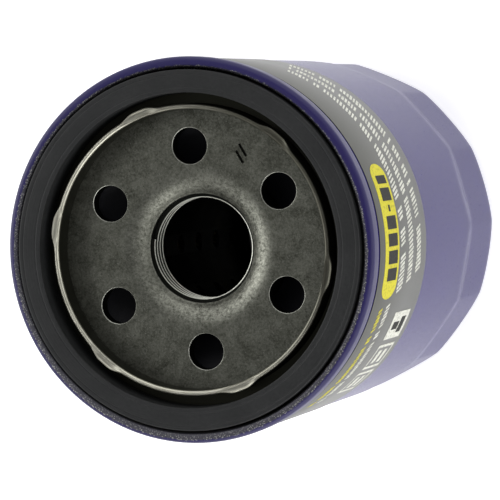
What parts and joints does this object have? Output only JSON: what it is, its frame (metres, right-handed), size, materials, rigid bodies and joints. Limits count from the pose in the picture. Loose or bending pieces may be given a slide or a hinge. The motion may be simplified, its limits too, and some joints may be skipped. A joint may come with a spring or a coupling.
{
  "type": "spin-on oil filter",
  "caption": "Spin-on engine oil filter: painted can, double-seamed lid, threaded plate, gasket, pleated element, bypass and anti-drainback valves.",
  "frame": {"origin": "on the filter's axis, on the plane that its closed end stands on", "axes": "+Z along the filter's axis, out of the threaded hole; the first inlet hole lies 31.3 degrees round from +X towards +Y"},
  "size_m": [0.0768, 0.0768, 0.1064],
  "materials": {
    "can": "gloss purple paint on drawn steel",
    "gasket_retainer": "pressed steel, bare inside, painted over the seam",
    "base_plate": "oiled, mill-finish steel plate",
    "sealing_gasket": "moulded nitrile rubber",
    "label_band": "printed film",
    "seam_compound": "cured seaming compound",
    "drainback_hub": "moulded nitrile rubber",
    "drainback_lip": "moulded nitrile rubber",
    "top_end_cap": "pressed steel, yellow passivate",
    "top_potting": "cured plastisol",
    "filter_media": "resin-treated pleated paper",
    "media_clip": "crimped steel strip",
    "centre_tube": "perforated steel tube",
    "bottom_potting": "cured plastisol",
    "bottom_end_cap": "pressed steel, yellow passivate",
    "bypass_seat": "pressed steel",
    "poppet_seal": "moulded nitrile rubber",
    "bypass_poppet": "moulded nylon",
    "bypass_spring": "drawn spring wire",
    "bypass_bridge": "pressed steel",
    "spring_cup": "pressed steel",
    "hold_down_spring": "drawn spring wire"
  },
  "bodies": {
    "filter": {"can": "can", "gasket_retainer": "gasket_retainer", "base_plate": "base_plate", "sealing_gasket": "sealing_gasket", "label_band": "label_band", "seam_compound": "seam_compound", "drainback_hub": "drainback_hub", "top_end_cap": "top_end_cap", "top_potting": "top_potting", "filter_media": "filter_media", "media_clip": "media_clip", "centre_tube": "centre_tube", "bottom_potting": "bottom_potting", "bottom_end_cap": "bottom_end_cap", "bypass_seat": "bypass_seat", "bypass_spring": "bypass_spring", "bypass_bridge": "bypass_bridge", "spring_cup": "spring_cup", "hold_down_spring": "hold_down_spring"},
    "poppet": {"bypass_poppet": "bypass_poppet", "poppet_seal": "poppet_seal"},
    "diaphragm": {"drainback_lip": "drainback_lip"}
  },
  "joints": [
    {"name": "bypass_lift", "type": "slide", "parent": "filter", "child": "poppet", "axis": [0, 0, 1], "range_m": [0, 0.003], "stiffness_N_per_m": 1500, "springref_m": -0.004, "deforming": ["bypass_spring"]},
    {"name": "drainback_lift", "type": "slide", "parent": "filter", "child": "diaphragm", "axis": [0, 0, -1], "range_m": [0, 0.0015], "stiffness_N_per_m": 400, "springref_m": -0.0005}
  ]
}
